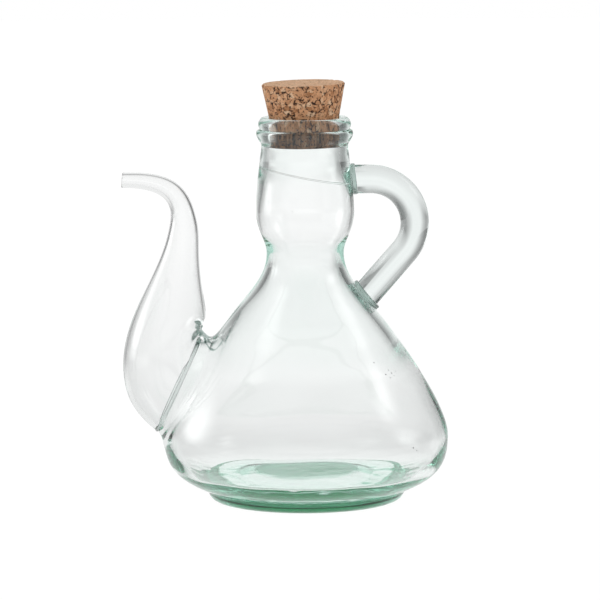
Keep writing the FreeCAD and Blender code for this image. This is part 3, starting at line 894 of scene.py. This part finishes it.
def buildFloor():
    material, tree = newMaterial("floor_white_sheet")
    path = addNode(tree, "ShaderNodeLightPath")
    place = addNode(tree, "ShaderNodeTexCoord").outputs["Object"]
    parts = addNode(tree, "ShaderNodeSeparateXYZ", {}, {"Vector": place}).outputs
    far = addNode(tree, "ShaderNodeVectorMath", {"operation": "LENGTH"}, {0: place})
    near = addNode(tree, "ShaderNodeValToRGB", {"stops": greys(studio["nearby"])},
                   {"Fac": far.outputs["Value"]})
    close, distant = studio["plainWithin"]
    fade = addNode(tree, "ShaderNodeMapRange", {1: close, 2: distant}, {"Value": far.outputs["Value"]})
    compass = addNode(tree, "ShaderNodeMix", {"data_type": "FLOAT", 2: 1.0},
                      {0: fade.outputs["Result"], 3: aroundLevel(tree, parts, studio["floorAround"])})
    level = addNode(tree, "ShaderNodeMath", {"operation": "MULTIPLY"},
                    {0: near.outputs["Color"], 1: compass.outputs[0]})
    beyond = addNode(tree, "ShaderNodeMath", {"operation": "SUBTRACT", 0: 1.0},
                     {1: path.outputs["Is Camera Ray"]})
    level = addNode(tree, "ShaderNodeMath", {"operation": "MULTIPLY"},
                    {0: level.outputs["Value"], 1: beyond.outputs["Value"]})
    level = addNode(tree, "ShaderNodeMath", {"operation": "MULTIPLY_ADD", 1: studio["cameraWhite"]},
                    {0: path.outputs["Is Camera Ray"], 2: level.outputs["Value"]})
    mirrored = addNode(tree, "ShaderNodeMath", {"operation": "MAXIMUM"},
                       {0: path.outputs["Is Glossy Ray"], 1: path.outputs["Is Transmission Ray"]})
    share = addNode(tree, "ShaderNodeMath", {"operation": "MULTIPLY_ADD", 1: studio["floorGlow"]},
                    {0: path.outputs["Is Camera Ray"], 2: mirrored.outputs["Value"]})
    sheet = addNode(tree, "ShaderNodeBsdfDiffuse", {"Color": linearColour(studio["floorColour"])})
    glow = addNode(tree, "ShaderNodeEmission", {"Color": (1, 1, 1, 1)}, {"Strength": level.outputs["Value"]})
    mix = addNode(tree, "ShaderNodeMixShader", {},
                  {0: share.outputs["Value"], 1: sheet.outputs["BSDF"], 2: glow.outputs["Emission"]})
    addNode(tree, "ShaderNodeOutputMaterial", {}, {"Surface": mix.outputs["Shader"]})
    bm = bmesh.new()
    bmesh.ops.create_circle(bm, cap_ends=True, segments=96, radius=studio["floorRadius"],
                            matrix=Matrix.Translation((0, 0, -studio["floorDrop"])))
    floor = bpy.data.objects.new("floor", toMesh(bm, "floor"))
    floor.data.materials.append(material)
    bpy.context.scene.collection.objects.link(floor)


def buildWorld():
    world = bpy.data.worlds.new("white_studio")
    bpy.context.scene.world = world
    world.use_nodes = True
    tree = world.node_tree
    tree.nodes.clear()
    way = addNode(tree, "ShaderNodeTexCoord").outputs["Generated"]
    parts = addNode(tree, "ShaderNodeSeparateXYZ", {}, {"Vector": way}).outputs
    rise = addNode(tree, "ShaderNodeMath", {"operation": "MULTIPLY_ADD", 1: 0.5, 2: 0.5}, {0: parts["Z"]})
    levels = {math.sin(math.radians(degrees)) / 2 + 0.5: level for degrees, level in studio["upward"].items()}
    upward = addNode(tree, "ShaderNodeValToRGB", {"stops": greys(levels)}, {"Fac": rise.outputs["Value"]})
    low, high, share = studio["openAbove"]
    overhead = addNode(tree, "ShaderNodeMapRange", {1: low, 2: high, 3: 0.0, 4: share}, {"Value": parts["Z"]})
    level = addNode(tree, "ShaderNodeMix", {"data_type": "FLOAT", 3: 1.0},
                    {0: overhead.outputs["Result"], 2: aroundLevel(tree, parts, studio["around"])})
    level = addNode(tree, "ShaderNodeMath", {"operation": "MULTIPLY"},
                    {0: upward.outputs["Color"], 1: level.outputs[0]})
    path = addNode(tree, "ShaderNodeLightPath")
    level = addNode(tree, "ShaderNodeMix", {"data_type": "FLOAT", 3: studio["fillForColour"]},
                    {0: path.outputs["Is Diffuse Ray"], 2: level.outputs["Value"]})
    level = addNode(tree, "ShaderNodeMath", {"operation": "MAXIMUM"},
                    {0: level.outputs[0], 1: path.outputs["Is Camera Ray"]})
    light = addNode(tree, "ShaderNodeBackground", {"Color": (1, 1, 1, 1)},
                    {"Strength": level.outputs["Value"]})
    addNode(tree, "ShaderNodeOutputWorld", {}, {"Surface": light.outputs["Background"]})


def addSoftbox(name, azimuth, elevation, distance, width, height, radiance, soft):
    lamp = bpy.data.lights.new(name, "AREA")
    lamp.shape = "RECTANGLE"
    lamp.size, lamp.size_y = width, height
    lamp.energy = radiance * math.pi * width * height
    lamp.use_nodes = True
    tree = lamp.node_tree
    tree.nodes.clear()
    spot = addNode(tree, "ShaderNodeNewGeometry").outputs["Parametric"]
    spot = addNode(tree, "ShaderNodeVectorMath", {"operation": "SUBTRACT", 1: (0.5, 0.5, 0)}, {0: spot})
    spot = addNode(tree, "ShaderNodeVectorMath", {"operation": "ABSOLUTE"}, {0: spot.outputs["Vector"]})
    sides = addNode(tree, "ShaderNodeSeparateXYZ", {}, {"Vector": spot.outputs["Vector"]}).outputs
    fades = [addNode(tree, "ShaderNodeMapRange", {"interpolation_type": "SMOOTHSTEP", 1: 0.5 - soft, 2: 0.5,
                                                  3: 1.0, 4: 0.0}, {"Value": sides[way]}) for way in "XY"]
    fade = addNode(tree, "ShaderNodeMath", {"operation": "MULTIPLY"},
                   {0: fades[0].outputs["Result"], 1: fades[1].outputs["Result"]})
    glow = addNode(tree, "ShaderNodeEmission", {}, {"Strength": fade.outputs["Value"]})
    addNode(tree, "ShaderNodeOutputLight", {}, {"Surface": glow.outputs["Emission"]})
    a, e = math.radians(azimuth), math.radians(elevation)
    back = Vector((math.sin(a) * math.cos(e), -math.cos(a) * math.cos(e), math.sin(e)))
    box = bpy.data.objects.new(name, lamp)
    box.location = Vector(studio["aim"]) + back * distance
    box.rotation_mode = "QUATERNION"
    box.rotation_quaternion = back.to_track_quat("Z", "Y")
    box.visible_camera = False
    bpy.context.scene.collection.objects.link(box)


buildFloor()
buildWorld()
for name, setting in studio["softboxes"].items():
    addSoftbox(name, *setting)

# Camera: angles in degrees, distance in metres
view = {
    "elevation": 7.3, "distance": 2.39, "aim": (-2.5 * mm, 0, 92.5 * mm), "halfAngle": 3.29, "roll": -0.3,
}
lens = bpy.data.cameras.new("camera")
lens.sensor_width = 36
lens.lens = lens.sensor_width / 2 / math.tan(math.radians(view["halfAngle"]))
camera = bpy.data.objects.new("camera", lens)
bpy.context.scene.collection.objects.link(camera)
bpy.context.scene.camera = camera
rise = math.radians(view["elevation"])
back = Vector((0, -math.cos(rise), math.sin(rise)))
camera.location = Vector(view["aim"]) + back * view["distance"]
camera.rotation_mode = "QUATERNION"
roll = Quaternion((0, 0, 1), math.radians(view["roll"]))
camera.rotation_quaternion = (-back).to_track_quat("-Z", "Y") @ roll

scene = bpy.context.scene
scene.view_settings.view_transform = "Standard"
scene.cycles.max_bounces = 64    # light runs a long way inside the glass walls before it gets out
scene.cycles.transmission_bounces = 64
scene.cycles.glossy_bounces = 64
print("stage, lamps and camera in place")
